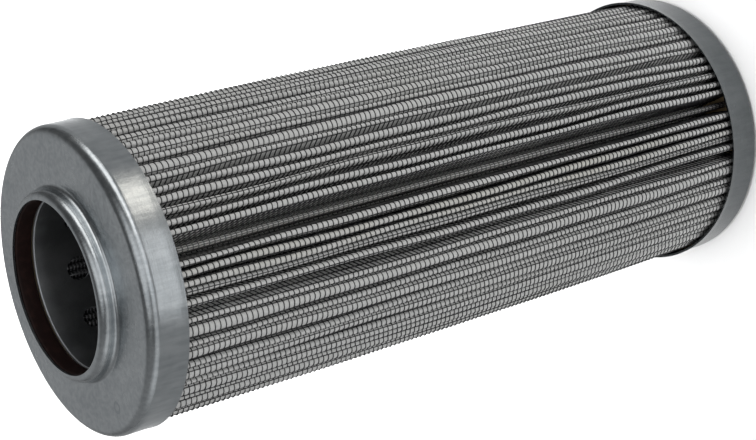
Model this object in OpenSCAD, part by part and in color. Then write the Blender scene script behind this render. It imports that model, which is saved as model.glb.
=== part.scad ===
// Pleated hydraulic filter element: a pack of folded mesh, fleece and glass fibre
// round a perforated core tube, glued into two drawn steel end caps.
// It stands on its closed cap at Z = 0, and the open collar points up.

/* [Element] */
// Height between the outer flat faces of the two end caps
element_h = 176.6; // [120:0.1:260]
// Outside diameter of both end caps, above the flared rims
cap_d = 67.9; // [64:0.1:76]
// Diameter of the collar's hole and of the inside of the core tube
bore_d = 38; // [34:0.1:40]
// Thickness of the sheet that both caps are drawn from
cap_sheet = 0.5; // [0.4:0.1:0.8]
// Height of the flared strip along the open rim of each cap
flare_h = 2; // [1:0.1:3]

/* [Front cap] */
// Depth of the front cap's outer flange
front_flange_h = 8.8; // [7:0.1:14]
// Outside radius of the front cap's drawn corner
front_corner_r = 2.6; // [1.2:0.1:3.2]
// How far the front cap's rim flares out
front_flare = 0.15; // [0:0.05:0.5]
// Height of the collar above the front cap's flat face
collar_h = 3.5; // [3:0.1:6]
// Width of the collar's lip, from the hole's edge to the collar's outer wall
collar_lip_w = 2; // [1.8:0.1:3]
// Outside radius of the collar's rounded crest
collar_crest_r = 1.2; // [0.9:0.1:1.5]
// Radius of the collar's foot, where it rises from the flat face
collar_foot_r = 1; // [0.5:0.1:1.4]

/* [Rear cap] */
// Depth of the rear cap's outer flange
rear_flange_h = 9.1; // [7:0.1:14]
// Outside radius of the rear cap's drawn corner
rear_corner_r = 1.6; // [1:0.1:3]
// How far the rear cap's rim flares out
rear_flare = 0.35; // [0:0.05:0.5]

/* [Seal ring] */
// How far the seal ring stands into the bore
seal_proud = 0.3; // [0.1:0.05:0.6]
// Free space round the seal ring in its seat
seal_gap = 0.05; // [0.02:0.01:0.1]
// Radius of the seal ring's edges
seal_edge_r = 0.8; // [0.75:0.05:0.85]

/* [Core tube] */
// Wall of the core tube
tube_wall = 0.6; // [0.4:0.1:1]
// Depth of the tube's front edge below the front cap's flat face
tube_drop = 1.5; // [1:0.1:2]
// Diameter of the round perforations
hole_d = 5.6; // [3:0.1:6]
// Perforations round each row
holes_per_row = 10; // [6:1:12]
// Rows of perforations along the tube
hole_rows = 12; // [4:1:14]
// Distance from each end of the tube to the centre of its nearest row
hole_margin = 10.2; // [6:0.1:16]

/* [Pleats] */
// Free space between the pleat tips and the inside of the cap flanges
pack_gap = 0.15; // [0.1:0.05:0.4]
// Free space between the core tube and the pleat roots
root_gap = 0.1; // [0.05:0.05:0.3]
// Inside radius of each fold at the outer tips
tip_fold_r = 0.3; // [0.15:0.05:0.4]
// Inside radius of each fold at the roots
root_fold_r = 0.08; // [0.05:0.01:0.15]
// Free space between two neighbouring roots
pleat_gap = 0.09; // [0.05:0.01:0.3]
// Direction that the side seam faces, from the X axis
seam_angle = 2; // [-180:1:180]
// How much lower than the pleat tips the two glued ends of the pack stop
seam_drop = 2.5; // [0.5:0.1:4]
// Share of the free space between tips that the pleats beside the seam lean over
seam_lean = 0.55; // [0:0.05:0.6]
// Share of the free space between tips that the other pleats wander over
pleat_wander = 0.3; // [0:0.05:0.3]

/* [Layers] */
// Outer support mesh
outer_mesh_t = 0.2; // [0.15:0.01:0.3]
// Protective fleece under the outer mesh
cover_fleece_t = 0.1; // [0.05:0.01:0.15]
// Coarse glass fibre layer
prefilter_t = 0.12; // [0.08:0.01:0.2]
// Fine glass fibre layer
fine_filter_t = 0.12; // [0.08:0.01:0.2]
// Backing fleece under the glass fibre
backing_fleece_t = 0.08; // [0.05:0.01:0.15]
// Inner support mesh
inner_mesh_t = 0.1; // [0.08:0.01:0.2]
// Thickness of the outer mesh's lengthwise wires
wire_d = 0.25; // [0.15:0.01:0.3]
// Spacing of the outer mesh's wires
wire_pitch = 1.29; // [1:0.01:1.6]

/* [Adhesive] */
// Depth of the adhesive that each end of the pack stands in
potting_h = 2.5; // [2:0.1:4]
// Width of the rear adhesive ring inside the core tube
potting_lap = 1.5; // [0.5:0.1:3]

/* [Hidden] */

cap_r = cap_d / 2;
bore_r = bore_d / 2;
collar_r = bore_r + collar_lip_w;
tube_r = bore_r + tube_wall;
tube_top = element_h - tube_drop;
pack_low = cap_sheet + potting_h;
pack_high = element_h - cap_sheet - potting_h;
pack_r = cap_r - cap_sheet - pack_gap;

seal_in_r = bore_r - seal_proud;
seal_out_r = collar_r - cap_sheet - seal_gap;
seal_low = tube_top + seal_gap;
seal_high = element_h + collar_h - cap_sheet - seal_gap;
seal_round = min(seal_edge_r, (seal_out_r - seal_in_r) / 2 - 0.02);

// The layers lie on each other from the inside out: each starts where the last one ends
inner_mesh_at = 0;
backing_fleece_at = inner_mesh_at + inner_mesh_t;
fine_filter_at = backing_fleece_at + backing_fleece_t;
prefilter_at = fine_filter_at + fine_filter_t;
cover_fleece_at = prefilter_at + prefilter_t;
outer_mesh_at = cover_fleece_at + cover_fleece_t;
stack_t = outer_mesh_at + outer_mesh_t;

// The folds: centres of the tip arcs and of the root arcs, and as many pleats as fit at the roots
tip_c_r = pack_r - tip_fold_r - stack_t;
root_half = root_fold_r + stack_t;
root_c_r = tube_r + root_gap + root_half;
pleats = floor(180 / asin((root_half + pleat_gap / 2) / root_c_r));
pleat_turn = 360 / pleats;
tip_free_turn = pleat_turn - 2 * asin((tip_fold_r + stack_t) / tip_c_r);
wander_turn = 47;

tip_facets = 4;
root_facets = 3;
corner_facets = 6;
round_fn = 180;
hole_fn = 32;

function arc(x, y, r, from, to, steps = corner_facets) =
    [for (i = [0:steps]) let (a = from + (to - from) * i / steps) [x + r * cos(a), y + r * sin(a)]];

function reversed(points) = [for (i = [len(points) - 1:-1:0]) points[i]];

function at_turn(r, a) = [r * cos(a), r * sin(a)];

// Sheet surface of the front cap from its rim over the collar to the hole, at a depth into the sheet
function front_surface(depth) = concat(
    [[cap_r + front_flare - depth, element_h - front_flange_h],
     [cap_r - depth, element_h - front_flange_h + flare_h]],
    arc(cap_r - front_corner_r, element_h - front_corner_r, front_corner_r - depth, 0, 90),
    arc(collar_r + collar_foot_r, element_h + collar_foot_r, collar_foot_r + depth, 270, 180),
    arc(collar_r - collar_crest_r, element_h + collar_h - collar_crest_r, collar_crest_r - depth, 0, 90),
    [[bore_r, element_h + collar_h - depth]]);

// Sheet surface of the rear cap from its rim to the centre, at a depth into the sheet
function rear_surface(depth) = concat(
    [[cap_r + rear_flare - depth, rear_flange_h],
     [cap_r - depth, rear_flange_h - flare_h]],
    arc(cap_r - rear_corner_r, rear_corner_r, rear_corner_r - depth, 0, -90),
    [[0, depth]]);

// How far a pleat's tip leans: away from the seam beside it, and a little to and fro elsewhere
function tip_lean(k) =
    let (steps = min(k, pleats - k), side = k < pleats / 2 ? 1 : -1)
    steps == 0 ? 0 :
    tip_free_turn * (seam_lean * side * exp(1 - steps) + pleat_wander * sin(wander_turn * k));

function tip_turn(k) = seam_angle + k * pleat_turn + tip_lean(k);

// Pleat 0 is the seam, so its centre lies lower
function tip_centre(k) =
    at_turn(k == 0 || k == pleats ? tip_c_r - seam_drop : tip_c_r, tip_turn(k));

function root_centre(k) = at_turn(root_c_r, seam_angle + (k + 0.5) * pleat_turn);

// Direction square to the straight wall between a tip and a root, on the tip's side next to that root
function wall_normal(tip, root, side) =
    let (span = root - tip)
    atan2(span[1], span[0]) - side * acos((tip_fold_r + root_half) / norm(span));

// The angle nearest to a wanted one, whole turns away
function near_turn(a, wanted) = a + 360 * round((wanted - a) / 360);

function tip_start(k) = near_turn(wall_normal(tip_centre(k), root_centre(k - 1), -1), tip_turn(k) - 90);
function tip_end(k) = near_turn(wall_normal(tip_centre(k), root_centre(k), 1), tip_turn(k) + 90);

function tip_arc(k, up) =
    let (c = tip_centre(k)) arc(c[0], c[1], tip_fold_r + up, tip_start(k), tip_end(k), tip_facets);

function root_arc(k, up) =
    let (c = root_centre(k))
    arc(c[0], c[1], root_half - up, tip_end(k) + 180,
        near_turn(tip_start(k + 1) + 180, tip_end(k) - 10), root_facets);

// Two lengthwise wires of the outer mesh stand out of each tip, one each side of its crown
function wired_tip(k, up) =
    let (c = tip_centre(k), r = tip_fold_r + up,
         off = wire_pitch / 2 / r * 180 / PI,
         half = wire_d / 2 / r * 180 / PI,
         crown = tip_turn(k))
    concat([c + at_turn(r, tip_start(k))],
           [for (side = [-1, 1]) each
               [c + at_turn(r, crown + side * off - half),
                c + at_turn(r + wire_d / 2, crown + side * off - half / 2),
                c + at_turn(r + wire_d / 2, crown + side * off + half / 2),
                c + at_turn(r, crown + side * off + half)]],
           [c + at_turn(r, tip_end(k))]);

// The folded line of the whole pack at one level of the stack, from one side of the seam to the other
function pleat_line(up, wires = false) = concat(
    [tip_centre(0) + at_turn(tip_fold_r + up, tip_end(0))],
    [for (k = [0:pleats - 1]) each
        concat(k == 0 ? [] : wires ? wired_tip(k, up) : tip_arc(k, up), root_arc(k, up))],
    [tip_centre(pleats) + at_turn(tip_fold_r + up, tip_start(pleats))]);

module pleated_layer(from, thickness, wires = false) {
    translate([0, 0, pack_low])
        linear_extrude(height = pack_high - pack_low)
            polygon(concat(pleat_line(from + thickness, wires), reversed(pleat_line(from))));
}

module turned(points) {
    rotate_extrude($fn = round_fn) polygon(points);
}

// Drawn steel cup with the collar that a spigot enters
module front_end_cap() {
    color([0.62, 0.65, 0.67])
        turned(concat(front_surface(0), reversed(front_surface(cap_sheet))));
}

// Drawn steel cup with a closed flat face
module rear_end_cap() {
    color([0.55, 0.58, 0.6])
        turned(concat(rear_surface(0), reversed(rear_surface(cap_sheet))));
}

// Rubber ring held in the collar, between its lip and the core tube's edge
module seal_ring() {
    color([0.17, 0.09, 0.07])
        turned(concat(
            arc(seal_out_r - seal_round, seal_high - seal_round, seal_round, 0, 90),
            arc(seal_in_r + seal_round, seal_high - seal_round, seal_round, 90, 180),
            arc(seal_in_r + seal_round, seal_low + seal_round, seal_round, 180, 270),
            arc(seal_out_r - seal_round, seal_low + seal_round, seal_round, 270, 360)));
}

// Perforated steel tube that holds the pleats off the bore, with every second row turned half a step
module core_tube() {
    tube_low = pack_low;
    row_step = (tube_top - tube_low - 2 * hole_margin) / (hole_rows - 1);
    color([0.5, 0.52, 0.54])
        difference() {
            translate([0, 0, tube_low])
                linear_extrude(height = tube_top - tube_low)
                    difference() {
                        circle(r = tube_r, $fn = round_fn);
                        circle(r = bore_r, $fn = round_fn);
                    }
            for (row = [0:hole_rows - 1], i = [0:holes_per_row - 1])
                translate([0, 0, tube_low + hole_margin + row * row_step])
                    rotate((i + 1 / 4 + (row % 2) / 2) * 360 / holes_per_row)
                        translate([bore_r - 1, 0, 0])
                            rotate([0, 90, 0])
                                cylinder(d = hole_d, h = tube_wall + 2, $fn = hole_fn);
        }
}

// Black coated wire mesh over the pleats
module outer_mesh() {
    color([0.12, 0.12, 0.13]) pleated_layer(outer_mesh_at, outer_mesh_t, true);
}

// White fleece that shows through the outer mesh
module cover_fleece() {
    color([0.86, 0.87, 0.86]) pleated_layer(cover_fleece_at, cover_fleece_t);
}

// Coarse glass fibre
module prefilter_layer() {
    color([0.9, 0.9, 0.88]) pleated_layer(prefilter_at, prefilter_t);
}

// Fine glass fibre
module fine_filter_layer() {
    color([0.93, 0.93, 0.9]) pleated_layer(fine_filter_at, fine_filter_t);
}

// Fleece that backs the glass fibre
module backing_fleece() {
    color([0.84, 0.85, 0.84]) pleated_layer(backing_fleece_at, backing_fleece_t);
}

// Wire mesh between the pleats and the core tube
module inner_mesh() {
    color([0.45, 0.46, 0.47]) pleated_layer(inner_mesh_at, inner_mesh_t);
}

// Glue line between the two ends of the folded pack
module side_seam_bead() {
    tip = tip_centre(0);
    before = root_centre(-1);
    after = root_centre(0);
    color([0.72, 0.6, 0.42])
        translate([0, 0, pack_low])
            linear_extrude(height = pack_high - pack_low)
                polygon([
                    tip + at_turn(tip_fold_r, tip_end(0)),
                    after - at_turn(root_half, tip_end(0)),
                    before - at_turn(root_half, tip_start(0)),
                    tip + at_turn(tip_fold_r, tip_start(0))]);
}

// Adhesive in the front cap, stepped back round the seal ring
module front_potting() {
    color([0.75, 0.66, 0.48])
        turned(concat(
            [[tube_r + seal_gap, pack_high],
             [cap_r - cap_sheet, pack_high]],
            arc(cap_r - front_corner_r, element_h - front_corner_r, front_corner_r - cap_sheet, 0, 90),
            [[seal_out_r + seal_gap, element_h - cap_sheet],
             [seal_out_r + seal_gap, tube_top],
             [tube_r + seal_gap, tube_top]]));
}

// Adhesive in the rear cap, under the pack and the core tube
module rear_potting() {
    color([0.75, 0.66, 0.48])
        turned(concat(
            [[bore_r - potting_lap, pack_low],
             [cap_r - cap_sheet, pack_low]],
            arc(cap_r - rear_corner_r, rear_corner_r, rear_corner_r - cap_sheet, 0, -90),
            [[bore_r - potting_lap, cap_sheet]]));
}

rear_end_cap();
rear_potting();
core_tube();
inner_mesh();
backing_fleece();
fine_filter_layer();
prefilter_layer();
cover_fleece();
outer_mesh();
side_seam_bead();
front_potting();
seal_ring();
front_end_cap();
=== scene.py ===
import math

import bmesh
import bpy
import numpy as np
from mathutils import Matrix, Vector


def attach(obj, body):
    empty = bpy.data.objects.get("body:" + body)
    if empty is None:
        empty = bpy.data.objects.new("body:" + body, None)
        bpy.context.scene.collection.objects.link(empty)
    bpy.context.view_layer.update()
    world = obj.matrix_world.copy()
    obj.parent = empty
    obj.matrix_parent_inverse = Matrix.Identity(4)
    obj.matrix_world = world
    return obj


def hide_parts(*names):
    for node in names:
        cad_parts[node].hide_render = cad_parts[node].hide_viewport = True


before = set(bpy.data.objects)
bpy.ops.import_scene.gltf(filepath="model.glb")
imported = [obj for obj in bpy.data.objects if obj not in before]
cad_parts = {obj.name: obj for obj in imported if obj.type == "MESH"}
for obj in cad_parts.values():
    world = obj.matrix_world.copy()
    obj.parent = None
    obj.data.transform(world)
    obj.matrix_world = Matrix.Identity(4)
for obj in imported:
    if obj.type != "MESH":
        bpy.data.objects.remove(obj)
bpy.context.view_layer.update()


# ---- Core tube ----
# The core tube is sheet steel of 0.6 mm, punched with staggered rows of round holes, rolled up
# and welded. It holds the folded pack off the bore, and its front edge, lightened as a painted
# highlight, shows as a thin bright ring behind the seal.

MM = 0.001
TUBE_OUT = 19.6
TUBE_WALL = 0.6
TUBE_LOW = 3.0
TUBE_TOP = 175.1
HOLE_R = 2.8
HOLES_ROUND = 10
HOLE_ROWS = 12
HOLE_POINTS = 24
# From the tube's ends to the middle of the first and last row
HOLE_MARGIN = 10.2
EDGE_BREAK = 0.25


class Value:
    """A number that changes over a surface; sums with it become Math nodes of its finish."""

    def __init__(self, finish, socket):
        self.finish = finish
        self.socket = socket

    def calc(self, operation, *values):
        return self.finish.node("ShaderNodeMath", {"operation": operation}, *values)

    def __add__(self, other):
        return self.calc("ADD", self, other)

    __radd__ = __add__

    def __mul__(self, other):
        return self.calc("MULTIPLY", self, other)

    __rmul__ = __mul__

    def __sub__(self, other):
        return self.calc("SUBTRACT", self, other)

    def __rsub__(self, other):
        return self.calc("SUBTRACT", other, self)

    def __pow__(self, other):
        return self.calc("POWER", self, other)

    def size(self):
        return self.calc("ABSOLUTE", self)

    def from_wire(self):
        """0 on each whole number, where a wire lies, and 0.5 halfway between two."""
        return self.calc("PINGPONG", self, 0.5)

    def between(self, low, high):
        """0 below low, 1 above high, and a soft step between them."""
        return self.finish.node("ShaderNodeMapRange", {"interpolation_type": "SMOOTHSTEP"},
                                self, low, high, 0.0, 1.0)


class Finish:
    """A finish of the element: a material, its shader and the nodes that vary it."""

    def __init__(self, name, home=None, **fixed):
        self.material = home or bpy.data.materials.new(name)
        self.material.use_nodes = True
        self.tree = self.material.node_tree
        self.shader = next(n for n in self.tree.nodes if n.type in ("BSDF_PRINCIPLED", "BACKGROUND"))
        self.paint(**fixed)

    def join(self, value, socket):
        if isinstance(value, Value):
            self.tree.links.new(value.socket, socket)
        elif value is not None:
            socket.default_value = value

    def paint(self, **sockets):
        for name, value in sockets.items():
            self.join(value, self.shader.inputs[name.replace("_", " ")])

    def node(self, kind, settings, *values, out=0, **named):
        made = self.tree.nodes.new(kind)
        for name, value in settings.items():
            setattr(made, name, value)
        for place, value in enumerate(values):
            self.join(value, made.inputs[place])
        for name, value in named.items():
            self.join(value, made.inputs[name.replace("_", " ")])
        return Value(self, made.outputs[out])

    def spot(self):
        """The place on the element, in metres."""
        return self.node("ShaderNodeTexCoord", {}, out=3)

    def part(self, vector, axis):
        return self.node("ShaderNodeSeparateXYZ", {}, vector, out=axis)

    def grain(self, where, scale, detail=2.0, stretch=(1, 1, 1)):
        spread = self.node("ShaderNodeVectorMath", {"operation": "MULTIPLY"}, where, stretch)
        return self.node("ShaderNodeTexNoise", {}, spread, Scale=scale, Detail=detail)

    def mix(self, share, first, second):
        return self.node("ShaderNodeMix", {"data_type": "RGBA"}, share, None, None, None, None, None,
                         first, second, out=2)

    def bump(self, height, strength, depth):
        return self.node("ShaderNodeBump", {}, Height=height, Strength=strength, Distance=depth)

    def weave_spot(self):
        """The place in the outer mesh, counted in wires along the sheet and up it."""
        where = self.node("ShaderNodeUVMap", {"uv_map": "weave"})
        return self.part(where, 0), self.part(where, 1)

    def polar(self, where):
        """The turn about the element's axis, the distance from it and the height."""
        x, y, z = (self.part(where, axis) for axis in range(3))
        return y.calc("ARCTAN2", y, x), (x * x + y * y) ** 0.5, z

    def round_about(self, where, turns, along):
        """Coordinates for a grain that runs round the axis."""
        turn, radius, z = self.polar(where)
        return self.node("ShaderNodeCombineXYZ", {}, turn * turns, radius * along, z * along)


def seat(bm, name, finish, node):
    """Makes a piece from its mesh in millimetres, in place of one of the solids."""
    bmesh.ops.scale(bm, vec=(MM, MM, MM), verts=bm.verts)
    mesh = bpy.data.meshes.new(name)
    bm.to_mesh(mesh)
    bm.free()
    mesh.materials.append(finish.material)
    mesh.shade_smooth()
    piece = bpy.data.objects.new(name, mesh)
    bpy.context.scene.collection.objects.link(piece)
    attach(piece, "root")
    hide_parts(node)
    return piece


def keep_edges(piece, degrees):
    """Shades the piece smooth, apart from edges sharper than this."""
    piece.data.set_sharp_from_angle(angle=math.radians(degrees))


def verts_of(geom):
    return [v for v in geom if isinstance(v, bmesh.types.BMVert)]


def copy_moved(bm, geom, x, y):
    """Repeats a part of a flat mesh beside itself."""
    copy = bmesh.ops.duplicate(bm, geom=geom)["geom"]
    bmesh.ops.translate(bm, verts=verts_of(copy), vec=(x, y, 0))


def turn_outwards(bm, faces):
    """Turns the whole sheet over if these faces look at the element's axis."""
    if sum(f.normal.dot(f.calc_center_median() * Vector((1, 1, 0))) for f in faces) < 0:
        bmesh.ops.reverse_faces(bm, faces=bm.faces)


core_steel = Finish("core_steel", Metallic=1.0)
place = core_steel.spot()
rolled = core_steel.grain(core_steel.round_about(place, 2.0, 260.0), 9.0, 3.0, (3, 1, 1))
stains = core_steel.grain(place, 150.0, 3.0)
_, radius, z = core_steel.polar(place)
# The walls of the holes, between the tube's two faces, and the front edge are bare cut steel,
# painted much lighter than the rest: a painted highlight for the glints on the hole rims and the
# front edge
bare_edge_glint = radius.between(0.01904, 0.01912) * (1 - radius.between(0.01948, 0.01956))
bare_edge_glint = bare_edge_glint.calc("MAXIMUM", bare_edge_glint, z.between(0.1748, 0.17486))
mill = core_steel.mix(stains.between(0.35, 0.7), (0.32, 0.33, 0.34, 1), (0.44, 0.45, 0.46, 1))
core_steel.paint(
    Base_Color=core_steel.mix(bare_edge_glint, mill, (0.80, 0.82, 0.84, 1)),
    Roughness=0.34 + 0.2 * rolled + 0.2 * bare_edge_glint,
    Normal=core_steel.bump(rolled, 0.15, 0.0002))

# One cell of the punched sheet, laid flat: a round hole in the middle of a rectangle. The points
# round the hole are drawn out to the rectangle's four sides.
row_step = (TUBE_TOP - TUBE_LOW - 2 * HOLE_MARGIN) / (HOLE_ROWS - 1)
half_turn = math.pi / HOLES_ROUND
half_h = row_step / 2
half_ring = HOLE_POINTS // 2
quarter = HOLE_POINTS // 4
eighth = HOLE_POINTS // 8
bm = bmesh.new()
rim = bmesh.ops.create_circle(bm, segments=HOLE_POINTS, radius=HOLE_R)["verts"]
out = bmesh.ops.extrude_edge_only(bm, edges=bm.edges[:])["geom"]
for v in verts_of(out):
    share = math.atan2(v.co.y, v.co.x) % math.tau / math.tau
    i = round(share * HOLE_POINTS) % HOLE_POINTS
    across = abs(i - half_ring) / eighth - 2
    up = abs((i - quarter) % HOLE_POINTS - half_ring) / eighth - 2
    v.co.x = TUBE_OUT * half_turn * max(-1, min(1, across))
    v.co.y = half_h * max(-1, min(1, up))
rays = [e for e in bm.edges if len({v in rim for v in e.verts}) == 2]
bmesh.ops.subdivide_edges(bm, edges=rays, cuts=2, use_grid_fill=True)
# The cell is repeated round each row and along the tube, and the sheet is rolled up
cell = bm.verts[:] + bm.edges[:] + bm.faces[:]
for i in range(1, HOLES_ROUND):
    copy_moved(bm, cell, i * 2 * TUBE_OUT * half_turn, 0)
row = bm.verts[:] + bm.edges[:] + bm.faces[:]
for i in range(1, HOLE_ROWS):
    copy_moved(bm, row, (i % 2) * TUBE_OUT * half_turn, i * row_step)
for v in bm.verts:
    turn = v.co.x / TUBE_OUT + half_turn / 2
    height = TUBE_LOW + HOLE_MARGIN + v.co.y
    v.co = (TUBE_OUT * math.cos(turn), TUBE_OUT * math.sin(turn), height)
bmesh.ops.remove_doubles(bm, verts=bm.verts, dist=0.01)
# The plain strips at both ends
ends = [(TUBE_LOW + HOLE_MARGIN - half_h, TUBE_LOW), (TUBE_TOP - HOLE_MARGIN + half_h, TUBE_TOP)]
for start, stop in ends:
    edges = [e for e in bm.edges if all(abs(v.co.z - start) < 0.01 for v in e.verts)]
    strip = bmesh.ops.extrude_edge_only(bm, edges=edges)["geom"]
    bmesh.ops.translate(bm, verts=verts_of(strip), vec=(0, 0, stop - start))
bmesh.ops.recalc_face_normals(bm, faces=bm.faces)
turn_outwards(bm, bm.faces)
bmesh.ops.solidify(bm, geom=bm.faces[:], thickness=TUBE_WALL)
# The inner edge at the front is broken
middle_r = TUBE_OUT - TUBE_WALL / 2
front_edge = [e for e in bm.edges
              if all(v.co.z > TUBE_TOP - 0.01 and v.co.xy.length < middle_r for v in e.verts)]
bmesh.ops.bevel(bm, geom=front_edge, offset=EDGE_BREAK, segments=3, profile=0.5, affect="EDGES",
                material=-1)
core_tube = seat(bm, "punched_core_tube", core_steel, "core_tube")
keep_edges(core_tube, 40)


# ---- Folded pack: inner mesh, backing fleece and the two glass fibre layers ----
# Two wire meshes with two fleeces and two layers of glass fibre between them are folded together
# into 76 pleats. From the tube outwards the first four are a bare wire mesh, the backing fleece,
# the fine glass fibre and the coarse one. Adhesive holds them in the caps at both ends.

PACK_LOW = 3.0
PACK_HIGH = 173.6
TIP_TOP = 32.58
ROOT_HALF = 0.8
ROOT_CENTRE_R = 20.5
PLEATS = 76
SEAM_TURN = 2.0
SEAM_DROP = 4.0
PLEAT_TURN = 360 / PLEATS
# The outer mesh: the height of its wires in the stack of sheets, and the distance between them
WEAVE_UP = 0.62
HOOP_PITCH = 1.29
LENGTH_PITCH = 2.58
HOOPS = 132
SPARE = (PACK_HIGH - PACK_LOW - (HOOPS - 1) * HOOP_PITCH) / 2
# Steps round a tip, round a root and up the pack, for the sheets that are not seen
TIP_STEPS = 4
ROOT_STEPS = 2
LAYER_ROWS = 12

# Where the tips stand on both sides of the +X direction, near which the seam lies, in degrees
UPWARD = [8.3, 12.2, 16.8, 20.9, 25.3, 30.6, 34.9, 39.7, 44.3, 49.0, 53.0, 59.0, 64.6, 70.5, 76.5]
DOWNWARD = [3.5, 7.5, 11.3, 14.7, 18.5, 25.0, 29.3, 34.2, 38.5, 43.8, 48.0, 53.0, 58.1, 63.0, 68.0]
# The tips next to the seam are tight or firm, and the others are wide and narrow in turn
TIGHT_TIPS = (0, 1, 3, 73, PLEATS)
FIRM_TIPS = (2, 4, 5, 71, 72, 74, 75)
TIGHT_R = 0.05
FIRM_R = 0.15
WIDE_R = 0.7
NEAR_SEAM = 5
NARROW_DROP = 0.3
# The tip that is tucked in below its neighbours
TUCKED = 72
TUCKED_DROP = 1.3
# How the pack settled: nothing moves up to the first radius and everything at the second, its
# middle bulges by this much, and the lean of its ends reaches this far along it
STILL_R = 21.5
LOOSE_R = 33.3
BULGE = 0.52
END_REACH = 30
# Moved sideways by one millimetre, a tip turns by 57.3 / 33 degrees about the element's axis
TIP_R = 33
RADIAN = 57.3
# How far the lengthwise wire nearest to a tip lies from its middle, where it isn't half a pitch
WIRE_OFFSETS = {0: 0.35, 2: 0.5, 3: 0.1, 5: 0.6, 71: -0.35, 72: 0.0, 75: -0.5}


def at_turn(radius, degrees):
    a = math.radians(degrees)
    return Vector((radius * math.cos(a), radius * math.sin(a)))


def tip_turn(k):
    """The measured tips, and the rest spread evenly round the far side."""
    if k in (0, PLEATS):
        return SEAM_TURN + 360 * (k > 0)
    if k <= len(UPWARD):
        return UPWARD[k - 1]
    last = PLEATS - len(DOWNWARD)
    if k >= last:
        return 360 - DOWNWARD[PLEATS - k - 1]
    share = (k - len(UPWARD)) / (last - len(UPWARD))
    return UPWARD[-1] + (360 - DOWNWARD[-1] - UPWARD[-1]) * share


def tip_fold(k):
    """Radius of a tip on the inner face of the stack."""
    if k in TIGHT_TIPS:
        return TIGHT_R
    if k in FIRM_TIPS:
        return FIRM_R
    return WIDE_R if k % 2 else TIGHT_R


def tip_centre(k):
    """The narrow tips lie a little lower than the wide ones, and the seam lies lowest."""
    narrow = NEAR_SEAM < k < PLEATS - NEAR_SEAM and k % 2 == 0
    drop = NARROW_DROP if narrow else 0
    if k in (0, PLEATS):
        drop = SEAM_DROP
    elif k == TUCKED:
        drop = TUCKED_DROP
    return at_turn(TIP_TOP - tip_fold(k) - drop, tip_turn(k))


def root_centre(k):
    return at_turn(ROOT_CENTRE_R, SEAM_TURN + (k + 0.5) * PLEAT_TURN)


def wall_normal(k, root, side):
    """Direction across the flat wall that joins a tip and a root, in degrees."""
    span = root - tip_centre(k)
    lean = math.degrees(math.acos((tip_fold(k) + ROOT_HALF) / span.length))
    return math.degrees(math.atan2(span.y, span.x)) - side * lean


def near_turn(a, wanted):
    """The same direction, given as the angle nearest to the wanted one."""
    return a + 360 * round((wanted - a) / 360)


def tip_start(k):
    return near_turn(wall_normal(k, root_centre(k - 1), -1), tip_turn(k) - 90)


def tip_end(k):
    return near_turn(wall_normal(k, root_centre(k), 1), tip_turn(k) + 90)


# The folds in their order: centre, radius of the stack's inner face, growth with the height in
# the stack, turn from and to. The first tip is the seam, which the two outer sheets close over.
folds = []
for k in range(PLEATS):
    start = tip_start(k) if k else tip_start(PLEATS) - 360
    folds.append((tip_centre(k), tip_fold(k), 1, start, tip_end(k)))
    folds.append((root_centre(k), ROOT_HALF, -1, tip_end(k) + 180,
                  near_turn(tip_start(k + 1) + 180, tip_end(k) - 10)))
seam_tip = folds[0]


def fold_point(fold, up, share):
    """A point of a fold, at a height in the stack and a share of its turn."""
    centre, radius, growth, start, stop = fold
    return centre + at_turn(radius + growth * up, start + (stop - start) * share)


def arc_length(fold):
    """Length of the outer mesh round a fold."""
    return math.radians(abs(fold[4] - fold[3])) * (fold[1] + fold[2] * WEAVE_UP)


def wall_length(before):
    """Length of the flat wall that follows a fold."""
    after = folds[(before + 1) % len(folds)]
    return (fold_point(after, 0, 0) - fold_point(folds[before], 0, 1)).length


def wire_offset(k):
    return WIRE_OFFSETS.get(k, LENGTH_PITCH / 2 + 0.3 * math.sin(2.4 * k))


def weave_place(number, share):
    """Place in the weave of a point of a fold, in wires, counted from the nearest tip."""
    length = arc_length(folds[number])
    k = number // 2
    if number % 2 == 0:
        return ((share - 0.5) * length - wire_offset(k)) / LENGTH_PITCH
    if share < 0.5:
        reach = arc_length(folds[number - 1]) / 2 + wall_length(number - 1) + share * length
        return (reach - wire_offset(k)) / LENGTH_PITCH
    after = (number + 1) % len(folds)
    reach = arc_length(folds[after]) / 2 + wall_length(number) + (1 - share) * length
    return (-reach - wire_offset(after // 2)) / LENGTH_PITCH


def folded_line(up, tip_steps, closed):
    """Points of a folded sheet at one height in the stack, each with its place in the weave."""
    line = []
    for number, fold in enumerate(folds):
        if number or closed:
            steps = tip_steps if fold[2] > 0 else ROOT_STEPS
            shares = [i / steps for i in range(steps + 1)]
            line += [(fold_point(fold, up, share), weave_place(number, share)) for share in shares]
    ends = [(fold_point(seam_tip, up, share), weave_place(0, share)) for share in (1, 0)]
    return line + line[:1] if closed else ends[:1] + line + ends[1:]


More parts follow.
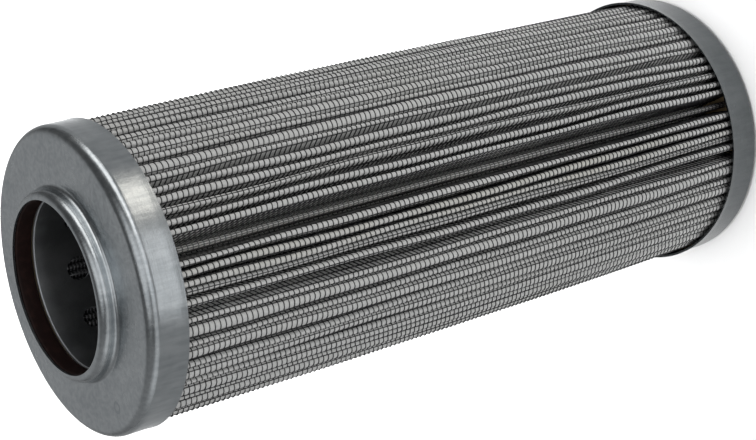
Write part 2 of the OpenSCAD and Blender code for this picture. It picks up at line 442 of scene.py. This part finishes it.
def settle(co):
    """Moves points in millimetres as the real pack settled: it bulges, and its tips wander."""
    x, y, z = co[:, 0], co[:, 1], co[:, 2]
    turn = np.arctan2(y, x)
    degrees = np.degrees(turn)
    radius = np.hypot(x, y)
    # 0 at the roots and 1 at the tips, and 0 to 1 from the rear to the front
    depth = np.clip((radius - STILL_R) / (LOOSE_R - STILL_R), 0, 1.1)
    length = np.clip((z - PACK_LOW) / (PACK_HIGH - PACK_LOW), 0, 1)
    bulge = BULGE * np.sin(np.pi * length) ** 0.8
    free = np.clip(np.sin(np.pi * length) * 4, 0, 1)

    def hump(centre, half):
        return np.exp(-((degrees - centre) / half) ** 2)

    # At both ends the pleats beside the seam lean towards it, in degrees
    rear = np.exp(-(z / END_REACH) ** 2)
    front = np.exp(-((z - PACK_HIGH) / END_REACH) ** 2)
    shift = -(1.9 * rear + 0.5 * front) * (hump(24, 22) + 0.4 * hump(60, 16))
    shift += (0.9 * rear + 0.6 * front) * (hump(-22, 18) + 0.6 * hump(-60, 20))
    # Small waves sideways, outwards and along, in millimetres
    wander = 0.17 * np.sin(23 * turn + z / 13 + 1.4 * np.sin(z / 29))
    wander += 0.13 * np.sin(37 * turn - z / 19 + 2) + 0.1 * np.sin(11 * turn + z / 7)
    moved = turn + np.radians(depth * (shift + free * wander / TIP_R * RADIAN))
    lift = 0.09 * np.sin(31 * turn + z / 23 + 1) + 0.06 * np.sin(43 * turn - z / 15)
    radius = radius + depth * (bulge + free * np.minimum(lift, 0.1) - 0.05)
    skew = 0.13 * np.sin(17 * turn + z / 11) + 0.09 * np.sin(41 * turn - z / 5 + 1)
    return np.stack([radius * np.cos(moved), radius * np.sin(moved), z + free * depth * skew], axis=1)


def settle_piece(bm):
    co = settle(np.array([v.co for v in bm.verts], float).reshape(-1, 3))
    for v, place in zip(bm.verts, co):
        v.co = place


def draw_up(bm, edges, rows):
    """Extrudes a line at the rear end of the pack up to its front end, in rows."""
    for row in range(rows):
        out = bmesh.ops.extrude_edge_only(bm, edges=edges)["geom"]
        edges = [e for e in out if isinstance(e, bmesh.types.BMEdge)]
        bmesh.ops.translate(bm, verts=verts_of(out), vec=(0, 0, (PACK_HIGH - PACK_LOW) / rows))


def close_ends(bm, sides):
    bmesh.ops.holes_fill(bm, edges=[e for e in bm.edges if e.is_boundary], sides=sides)
    bmesh.ops.recalc_face_normals(bm, faces=bm.faces)


def folded_sheet(low, high, tip_steps, rows, closed=False):
    """One sheet between two heights in the stack, with its place in the weave as a UV map."""
    bm = bmesh.new()
    along = bm.verts.layers.float.new("along")
    made = []
    for point, place in folded_line(high, tip_steps, closed):
        v = bm.verts.new((point.x, point.y, PACK_LOW))
        v[along] = place
        made.append(v)
    draw_up(bm, [bm.edges.new(pair) for pair in zip(made, made[1:])], rows)
    bm.normal_update()
    turn_outwards(bm, [f for f in bm.faces if f.calc_center_median().xy.length > TIP_TOP - 0.1])
    bmesh.ops.solidify(bm, geom=bm.faces[:], thickness=high - low)
    weave = bm.loops.layers.uv.new("weave")
    for face in bm.faces:
        for loop in face.loops:
            loop[weave].uv = (loop.vert[along], (loop.vert.co.z - PACK_LOW - SPARE) / HOOP_PITCH)
    settle_piece(bm)
    return bm


def fibre_finish(name, colour, tint, relief):
    """White fibre mat: short soft fibres in all directions, a little uneven in colour."""
    finish = Finish(name, Roughness=0.92, Sheen_Weight=0.15)
    place = finish.spot()
    fibres = finish.grain(place, 2600.0, 3.0, (1, 1, 0.45))
    clouds = finish.grain(place, 240.0, 2.0)
    finish.paint(Base_Color=finish.mix(fibres * 0.6 + clouds * 0.6 - 0.2, tint, colour),
                 Normal=finish.bump(fibres, relief, 0.0002))
    return finish


# The inner mesh is woven closer than the outer one, whose places its pattern counts from
inner_wire = Finish("inner_wire", Metallic=1.0)
across, down = inner_wire.weave_spot()
across = across * 3
down = down * 1.5
gap = across.from_wire().between(0.12, 0.2) * down.from_wire().between(0.12, 0.2)
# Painted shade: the wires are drawn dark and the openings between them near-black, for the dim inside
# of the tube, where the fleece behind the openings lies in shadow
inner_wire.paint(
    Base_Color=inner_wire.mix(gap, (0.34, 0.34, 0.35, 1), (0.06, 0.06, 0.06, 1)),
    Roughness=0.32 + 0.3 * gap,
    Normal=inner_wire.bump(1 - gap, 0.6, 0.0001))

seat(folded_sheet(0.0, 0.1, TIP_STEPS, LAYER_ROWS), "folded_inner_mesh", inner_wire,
     "inner_mesh")

# The layers on it, each between two heights in the stack
backing = fibre_finish("backing_fleece", (0.80, 0.81, 0.80, 1), (0.68, 0.69, 0.68, 1), 0.4)
fine = fibre_finish("fine_fibre", (0.88, 0.88, 0.85, 1), (0.8, 0.8, 0.77, 1), 0.3)
coarse = fibre_finish("coarse_fibre", (0.86, 0.86, 0.83, 1), (0.78, 0.78, 0.75, 1), 0.4)
layers = [("folded_backing_fleece", 0.1, 0.18, backing, "backing_fleece", "backing_fleece"),
          ("folded_fine_fibre", 0.18, 0.3, fine, "fine_fibre", "fine_filter_layer"),
          ("folded_coarse_fibre", 0.3, 0.42, coarse, "coarse_fibre", "prefilter_layer")]
for name, low, high, finish, slot, node in layers:
    layer = seat(folded_sheet(low, high, TIP_STEPS, LAYER_ROWS), name, finish, node)


# ---- Cover fleece ----
# The cover fleece is the white sheet that shows between the wires. It is a thin spunbonded
# polyester mat, folded with the pack, and it swells a little out of each opening of the mesh.

COVER_STEPS = 8
COVER_ROWS = 22

cover = Finish("cover_fleece", Roughness=0.95, Sheen_Weight=0.1)
place = cover.spot()
across, down = cover.weave_spot()
across = across.from_wire() * 2
down = down.from_wire()
turn, radius, z = cover.polar(place)
# Bands along the wires of the mesh: beside the modelled wires they are grey painted shade that the
# wires cast on the fleece, and below the modelled wires the walls carry the mesh as a black pattern
deep = 1 - radius.between(0.0292, 0.0296)
low = 0.02 + 0.03 * deep
high = 0.09 + 0.03 * deep
wire_and_shade_bands = across.between(low, high) * down.between(low, high)
swell = (1 - (1 - across) ** 4.0) * (1 - (1 - 2 * down) ** 2.0)
fibres = cover.grain(place, 2400.0, 4.0, (1, 1, 0.5))
clouds = cover.grain(place, 70.0, 3.0)
white = cover.mix(fibres, (0.74, 0.74, 0.725, 1), (0.88, 0.88, 0.865, 1))
white = cover.mix(clouds.between(0.45, 0.75) * 0.35, white, (0.76, 0.755, 0.72, 1))
# Cream glue has soaked through two or three pleats below the seam, most towards the rear
below = turn.between(-0.25, -0.19) * (1 - turn.between(-0.10, -0.06))
cream = below * clouds.between(0.3, 0.6) * (0.5 - 0.25 * z.between(0.04, 0.13))
white = cover.mix(cream, white, (0.77, 0.745, 0.62, 1))
# The fleece beside the glued seam, below the tips, is darker
beside = (turn - 0.036).size()
seam_tone = (1 - beside.between(0.03, 0.06)) * (1 - radius.between(0.0297, 0.0303))
white = cover.mix(seam_tone * 0.35, white, (0.40, 0.39, 0.36, 1))
# Towards the rear cap the fleece is painted greyer: painted shade, where less light reaches the
# rear of the pack
white = cover.mix(0.7 * (1 - z.between(0.0, 0.10)), white, (0.56, 0.56, 0.55, 1))
# Grey painted shade in the bands beside the modelled wires, black painted wires in the deep bands
shade = cover.mix(deep, (0.42, 0.42, 0.41, 1), (0.035, 0.035, 0.035, 1))
cover.paint(
    Base_Color=cover.mix(wire_and_shade_bands, shade, white),
    Normal=cover.bump(swell * 0.8 + fibres * 0.25, 0.8, 0.00016))
cover_sheet = seat(folded_sheet(0.42, 0.52, COVER_STEPS, COVER_ROWS, True), "folded_cover_fleece",
                   cover, "cover_fleece")


# ---- Outer mesh ----
# The outer mesh is woven from black epoxy coated steel wire of 0.25 mm, with about 20 wires to
# the inch. It is folded with the pack and keeps the pleats apart. Hoop wires run over every
# pleat, and the lengthwise wires cross each tip wherever the folding left them.

WIRE_HALF = 0.12
# Heights of the wires in the stack
WIRE_FOOT = 0.54
WIRE_CREST = 0.74
LENGTH_CREST = 0.76
# How far down the walls the modelled wires reach
SHOWN_DEPTH = 3.2
SEAM_DEPTH = 9.0
# The two wires on the seam lie this far from its middle
SEAM_WIRE = 0.28
WIRE_STEPS = 6
WIRE_ROWS = 26

wire_coat = Finish("coated_wire", Coat_Weight=0.15, Coat_Roughness=0.25)
place = wire_coat.spot()
specks = wire_coat.grain(place, 3000.0, 2.0)
worn = wire_coat.grain(place, 420.0, 3.0)
turn, radius, z = wire_coat.polar(place)
# Deep in the fold of the seam the wires are painted grey: a painted sheen, for the light their
# coat reflects where they are seen at a grazing angle
beside = (turn - 0.035).size()
seam_wire_sheen = (1 - beside.between(0.07, 0.10)) * (1 - radius.between(0.0290, 0.0312))
seam_wire_sheen = seam_wire_sheen * z.between(0.01, 0.10)
coat = wire_coat.mix(worn.between(0.4, 0.7), (0.024, 0.024, 0.026, 1), (0.065, 0.065, 0.067, 1))
wire_coat.paint(
    Base_Color=wire_coat.mix(seam_wire_sheen, coat, (0.17, 0.17, 0.165, 1)),
    Roughness=0.36 + 0.2 * worn,
    Normal=wire_coat.bump(specks, 0.2, 0.0001))


def wall_depth(k):
    """How deep the modelled wires reach on the wall after a tip: deeper between pleats set wide."""
    gap = tip_turn(k + 1) - tip_turn(k)
    if k in (0, PLEATS - 1):
        return SEAM_DEPTH
    return SHOWN_DEPTH + max(0, gap - PLEAT_TURN) * 1.5


def tip_chain(k, up, height):
    """Points of one hoop wire over a tip, from one wall to the other."""
    fold = folds[2 * k]
    points = [fold_point(fold, up, i / WIRE_STEPS) for i in range(WIRE_STEPS + 1)]
    low = root_centre(k - 1) + at_turn(ROOT_HALF - up, fold[3] + 180)
    high = root_centre(k) + at_turn(ROOT_HALF - up, fold[4] + 180)
    points.insert(0, points[0] + (low - points[0]).normalized() * wall_depth((k - 1) % PLEATS))
    points.append(points[-1] + (high - points[-1]).normalized() * wall_depth(k))
    return [(p.x, p.y, height) for p in points]


def add_wire(bm, chains):
    """A wire with three faces, from three lines of points along it."""
    lines = []
    for chain in chains:
        verts = [bm.verts.new(p) for p in chain]
        lines.append([bm.edges.new(pair) for pair in zip(verts, verts[1:])])
    for a, b in ((0, 1), (1, 2), (2, 0)):
        bmesh.ops.bridge_loops(bm, edges=lines[a] + lines[b])


bm = bmesh.new()
section = [(WIRE_FOOT, -WIRE_HALF), (WIRE_CREST, 0), (WIRE_FOOT, WIRE_HALF)]
for k in range(PLEATS):
    add_wire(bm, [tip_chain(k, up, height) for up, height in section])
close_ends(bm, 3)
bmesh.ops.triangulate(bm, faces=bm.faces)
hoop = bpy.data.meshes.new("hoop")
bm.to_mesh(hoop)
bm.free()
# The hoop is repeated along the pack, in three lengths of the mesh
for part, name in enumerate(("rear", "middle", "front")):
    bm = bmesh.new()
    for i in range(part * HOOPS // 3, (part + 1) * HOOPS // 3):
        first = len(bm.verts)
        bm.from_mesh(hoop)
        bm.verts.ensure_lookup_table()
        height = PACK_LOW + SPARE + i * HOOP_PITCH
        bmesh.ops.translate(bm, verts=bm.verts[first:], vec=(0, 0, height))
    settle_piece(bm)
    seat(bm, f"mesh_hoop_wires_{name}", wire_coat, "outer_mesh")
bpy.data.meshes.remove(hoop)


# The lengthwise wires of each tip, on the fold itself and on the walls beside it
bm = bmesh.new()
section = ((-WIRE_HALF, WIRE_FOOT), (0, LENGTH_CREST), (WIRE_HALF, WIRE_FOOT))
for k in range(PLEATS):
    fold = folds[2 * k]
    length = arc_length(fold)
    places = [wire_offset(k) + i * LENGTH_PITCH for i in range(-5, 6)]
    for place in places if k else (-SEAM_WIRE, SEAM_WIRE):
        if abs(place) < length / 2:
            corners = [fold_point(fold, up, 0.5 + (place + side) / length) for side, up in section]
        else:
            ahead = place > 0
            depth = abs(place) - length / 2
            if depth > wall_depth(k if ahead else (k - 1) % PLEATS):
                continue
            root = folds[2 * k + 1] if ahead else folds[2 * k - 1]
            corners = []
            for side, up in section:
                a = fold_point(fold, up, 1 if ahead else 0)
                b = fold_point(root, up, 0 if ahead else 1)
                corners.append(a + (b - a).normalized() * (depth + side))
        verts = [bm.verts.new((p.x, p.y, PACK_LOW)) for p in corners]
        for a, b in ((0, 1), (1, 2), (2, 0)):
            bm.edges.new((verts[a], verts[b]))
draw_up(bm, bm.edges[:], WIRE_ROWS)
close_ends(bm, 3)
settle_piece(bm)
seat(bm, "mesh_lengthwise_wires", wire_coat, "outer_mesh")


# ---- Side seam and adhesive ----
# The two ends of the folded pack are glued together along a line, a little below the tips. The
# pack and the tube then stand in a layer of two-part adhesive that is poured into each cap and
# sets to a tan, slightly glossy mass.

adhesive = Finish("adhesive")
place = adhesive.spot()
poured = adhesive.grain(place, 90.0, 3.0)
pits = adhesive.grain(place, 900.0, 2.0)
adhesive.paint(
    Base_Color=adhesive.mix(poured.between(0.3, 0.7), (0.44, 0.32, 0.18, 1), (0.58, 0.45, 0.28, 1)),
    Roughness=0.3 + 0.3 * poured,
    Normal=adhesive.bump(poured + 0.3 * pits, 0.3, 0.0005))
for node in ("front_potting", "rear_potting"):
    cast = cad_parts[node]
    cast.data.materials.clear()
    cast.data.materials.append(adhesive.material)

bm = bmesh.new()
profile = [fold_point(seam_tip, 0, 1), root_centre(0) - at_turn(ROOT_HALF, seam_tip[4]),
           root_centre(-1) - at_turn(ROOT_HALF, seam_tip[3]), fold_point(seam_tip, 0, 0)]
verts = [bm.verts.new((p.x, p.y, PACK_LOW)) for p in profile]
draw_up(bm, [bm.edges.new(pair) for pair in zip(verts, verts[1:] + verts[:1])], COVER_ROWS)
close_ends(bm, 4)
settle_piece(bm)
seam_glue = Finish("seam_glue", Roughness=0.6)
place = seam_glue.spot()
seam_tone = seam_glue.grain(place, 500.0, 3.0, (1, 1, 0.5))
seam_glue.paint(Base_Color=seam_glue.mix(seam_tone, (0.16, 0.15, 0.13, 1), (0.36, 0.34, 0.30, 1)),
                Normal=seam_glue.bump(seam_tone, 0.5, 0.0004))
seam = seat(bm, "seam_glue_line", seam_glue, "side_seam_bead")
keep_edges(seam, 40)


# ---- Rear cap ----
# The rear cap is a closed cup drawn from 0.5 mm zinc plated steel sheet, with a small flare
# along its open rim. Its plate is painted darker than the front cap's, as painted shade for the
# cap in shadow by the floor, and the element stands on it.

CAP_R = 33.95
SHEET = 0.5
REAR_BEND = 1.6
ROUND_STEPS = 256
# The punched ring's radius, and the place given for it on a cap without one, in metres
PUNCHED_R = 0.0011
OFF_THE_CAP = (1, 1, 0)


def arc(x, y, radius, start, stop, steps=14):
    turns = [math.radians(start + (stop - start) * i / steps) for i in range(steps + 1)]
    return [(x + radius * math.cos(a), y + radius * math.sin(a)) for a in turns]


def turned(points):
    """A turned or drawn piece: its half section is spun once round the element's axis."""
    bm = bmesh.new()
    verts = [bm.verts.new((x, 0, z)) for x, z in points]
    edges = [bm.edges.new(pair) for pair in zip(verts, verts[1:] + verts[:1])]
    bmesh.ops.spin(bm, geom=verts + edges, cent=(0, 0, 0), axis=(0, 0, 1), dvec=(0, 0, 0),
                   angle=math.tau, steps=ROUND_STEPS, use_merge=True, use_duplicate=False)
    bmesh.ops.remove_doubles(bm, verts=bm.verts, dist=0.001)
    bmesh.ops.recalc_face_normals(bm, faces=bm.faces)
    return bm


def drawn_cap(line_at, name, finish, node):
    """A cap of one sheet: the line of its half section on the outside, and back on the inside."""
    cap = seat(turned(line_at(0) + line_at(SHEET)[::-1]), name, finish, node)
    keep_edges(cap, 50)
    return cap


def rear_line(depth):
    """Half section of the rear cap at a depth in the sheet: the flare, the flange and the face."""
    flare = [(CAP_R + 0.35 - depth, 9.1), (CAP_R + 0.16 - depth, 8.2), (CAP_R - depth, 7.1)]
    bend = arc(CAP_R - REAR_BEND, REAR_BEND, REAR_BEND - depth, 0, -90)
    return flare + bend + [(20, depth), (0, depth)]


def plated(name, dull, shine, punched):
    """Zinc plate on drawn sheet: satin and blotched, with fine marks round it and scuffs along it.

    A small ring is punched into the face at one place. A place off the cap leaves it out.
    """
    finish = Finish(name, Metallic=1.0)
    place = finish.spot()
    drawn = finish.grain(finish.round_about(place, 3.0, 900.0), 4.0, 3.0, (0.6, 1, 1))
    scuffs = finish.grain(place, 900.0, 3.0, (1, 1, 0.12))
    spangle = finish.grain(place, 420.0, 3.0)
    fine = finish.grain(place, 2300.0, 2.0)
    blotch = finish.grain(place, 65.0, 5.0)
    flat = finish.node("ShaderNodeVectorMath", {"operation": "MULTIPLY"}, place, (1, 1, 0))
    far = finish.node("ShaderNodeVectorMath", {"operation": "DISTANCE"}, flat, punched, out=1)
    ring = 1 - (far - PUNCHED_R).size().between(0.0001, 0.0004)
    tone = blotch.between(0.3, 0.75) * 0.4 + scuffs.between(0.35, 0.65) * 0.35
    tone = tone + spangle.between(0.35, 0.65) * 0.25 - 1.2 * ring
    marks = drawn * 0.6 + scuffs * 0.6 + spangle * 0.6 + fine * 0.5 - ring
    finish.paint(Base_Color=finish.mix(tone, dull, shine),
                 Roughness=0.13 + 0.1 * blotch + 0.07 * drawn + 0.06 * spangle,
                 Normal=finish.bump(marks, 0.3, 0.0001))
    return finish


# The same zinc plate as the front cap in darker colours: painted shade
shaded_rear_steel = plated("rear_cap_steel", (0.10, 0.108, 0.112, 1), (0.14, 0.15, 0.155, 1), OFF_THE_CAP)
drawn_cap(rear_line, "drawn_rear_cap", shaded_rear_steel, "rear_end_cap")


# ---- Front cap ----
# The front cap is drawn from the same sheet. Its flat face is turned up into a collar whose
# rounded crest closes inwards to the hole for the filter head's spigot.

PUNCHED_AT = (0.0072, -0.0273, 0)
FACE_Z = 176.6
BORE_R = 19.0
FRONT_BEND = 2.6
COLLAR_R = 21.0
COLLAR_FOOT = 1
COLLAR_CREST = 2.0
COLLAR_TOP = FACE_Z + 3.5


def front_line(depth):
    """Half section of the front cap at a depth in the sheet, from its rim to the collar's hole."""
    flare = [(CAP_R + 0.15 - depth, FACE_Z - 8.8), (CAP_R + 0.05 - depth, FACE_Z - 7.8),
             (CAP_R - depth, FACE_Z - 6.8)]
    bend = arc(CAP_R - FRONT_BEND, FACE_Z - FRONT_BEND, FRONT_BEND - depth, 0, 90)
    foot = arc(COLLAR_R + COLLAR_FOOT, FACE_Z + COLLAR_FOOT, COLLAR_FOOT + depth, 270, 180)
    crest = arc(COLLAR_R - COLLAR_CREST, COLLAR_TOP - COLLAR_CREST, COLLAR_CREST - depth, 0, 90)
    return flare + bend + [(28, FACE_Z - depth)] + foot + crest + [(BORE_R, COLLAR_TOP - depth)]


front_steel = plated("front_cap_steel", (0.40, 0.43, 0.45, 1), (0.60, 0.63, 0.645, 1), PUNCHED_AT)
front_cap = drawn_cap(front_line, "drawn_front_cap", front_steel, "front_end_cap")


# ---- Seal ring ----
# The seal ring is a moulded ring of dark brown fluoro rubber. It sits loose in the collar,
# between the lip and the core tube's edge, and grips the spigot.

rubber = Finish("seal_rubber", Specular_IOR_Level=0.25)
place = rubber.spot()
dust = rubber.grain(place, 700.0, 3.0)
rubber.paint(
    Base_Color=rubber.mix(dust.between(0.4, 0.8), (0.016, 0.006, 0.005, 1), (0.035, 0.014, 0.011, 1)),
    Roughness=0.5 + 0.25 * dust,
    Normal=rubber.bump(dust, 0.15, 0.0002))
SEAL_IN = 18.7
SEAL_OUT = 20.4
SEAL_LOW = 175.4
SEAL_HIGH = 179.45
# Its four corners, in their order round the section: where they lie, how round they are and where
# their arcs start
ring = []
for x, y, corner, start in ((SEAL_OUT, SEAL_HIGH, 1.3, 0), (SEAL_IN, SEAL_HIGH, 0.4, 90),
                            (SEAL_IN, SEAL_LOW, 0.8, 180), (SEAL_OUT, SEAL_LOW, 0.8, 270)):
    inwards = -corner if x == SEAL_OUT else corner
    upwards = -corner if y == SEAL_HIGH else corner
    ring += arc(x + inwards, y + upwards, corner, start, start + 90, 8)
seat(turned(ring), "moulded_seal_ring", rubber, "seal_ring")


# ---- Floor, light and camera ----
# The element stands on a plain white floor under soft studio light: a dim surround with a few soft
# bright places, two cards that lie on the floor and shine up, a light for the front cap's collar,
# and a wash that keeps the floor behind the element white.

floor_finish = Finish("pale_floor", Roughness=0.9, Specular_IOR_Level=0.0)
tone = floor_finish.grain(floor_finish.spot(), 3.0, 2.0)
floor_finish.paint(Base_Color=floor_finish.mix(tone, (0.80, 0.80, 0.80, 1), (0.82, 0.82, 0.82, 1)))
bm = bmesh.new()
bmesh.ops.create_grid(bm, x_segments=1, y_segments=1, size=6.0)
mesh = bpy.data.meshes.new("studio_floor")
bm.to_mesh(mesh)
bm.free()
mesh.materials.append(floor_finish.material)
floor = bpy.data.objects.new("studio_floor", mesh)
bpy.context.scene.collection.objects.link(floor)

world = bpy.data.worlds.new("studio")
bpy.context.scene.world = world
surround = Finish("studio", world)
way = surround.node("ShaderNodeTexCoord", {})


def patch_of(towards, inner, outer):
    """1 where the surround lies this way, 0 further off, with a soft edge between the two angles."""
    facing = surround.node("ShaderNodeVectorMath", {"operation": "DOT_PRODUCT"}, way, towards, out=1)
    return facing.between(math.cos(math.radians(outer)), math.cos(math.radians(inner)))


# A low band of light on the camera's side with a glow in its middle, a pale wall behind the
# element, a light overhead and a weak one on the left
level = surround.part(way, 2) - 0.2
band = (1 - level.size().between(0.12, 0.42)) * surround.part(way, 0).between(-0.45, 0.1)
glow = patch_of((0.98, 0.0, 0.2), 4, 36)
wall = patch_of((-0.91, 0.03, 0.42), 12, 40)
over = patch_of((0.44, 0.0, 0.90), 6, 36)
side = patch_of((-0.38, -0.82, 0.42), 15, 50)
surround.paint(Color=(0.98, 0.99, 1.0, 1),
               Strength=0.08 + 0.48 * band + 0.55 * glow + 0.26 * wall + 0.8 * over + 0.15 * side)


def soft_light(name, at, towards, size, radiance, colour=(1, 1, 1), only=None):
    """A rectangular soft box of an even brightness, which can be kept to one piece."""
    lamp = bpy.data.lights.new(name, "AREA")
    lamp.shape = "RECTANGLE"
    lamp.size, lamp.size_y = size
    lamp.energy = radiance * math.pi * size[0] * size[1]
    lamp.color = colour
    box = bpy.data.objects.new(name, lamp)
    box.location = at
    box.rotation_euler = (Vector(towards) - Vector(at)).to_track_quat("-Z", "Y").to_euler()
    box.visible_camera = False
    bpy.context.scene.collection.objects.link(box)
    if only:
        reached = bpy.data.collections.new(name + "_reach")
        reached.objects.link(only)
        box.light_linking.receiver_collection = reached


soft_light("floor_wash", (-0.25, 0.03, 0.08), (-0.25, 0.03, 0), (0.67, 0.25), 2.4, only=floor)
soft_light("warm_card", (0.26, 0.27, 0.012), (0.26, 0.27, 1), (0.17, 0.19), 1.9, (1.0, 0.93, 0.83))
soft_light("front_card", (0.36, -0.06, 0.012), (0.36, -0.06, 1), (0.20, 0.38), 0.85)
soft_light("crest_light", (0.50, 0.87, 0.40), (0, 0, 0.18), (1.5, 0.42), 1.3, (1.0, 0.98, 0.95),
           only=front_cap)

camera = bpy.data.cameras.new("camera")
camera.lens = 82.80
camera.sensor_width = 36.0
camera.clip_start = 0.01
camera.clip_end = 50.0
# Place and directions, solved from the outlines of the two caps in the photograph
at = Vector((0.34017, 0.0, 0.32799))
right = Vector((0.5459631, -0.26041383, -0.79630957))
up = Vector((0.13822307, 0.96543928, -0.22095559))
back = Vector((0.82632843, 0.01056525, 0.56308942))
turned_so = Matrix((right, up, back)).transposed().to_4x4()
holder = bpy.data.objects.new("camera", camera)
holder.matrix_world = Matrix.Translation(at) @ turned_so
bpy.context.scene.collection.objects.link(holder)
bpy.context.scene.camera = holder
bpy.context.scene.view_settings.view_transform = "Standard"
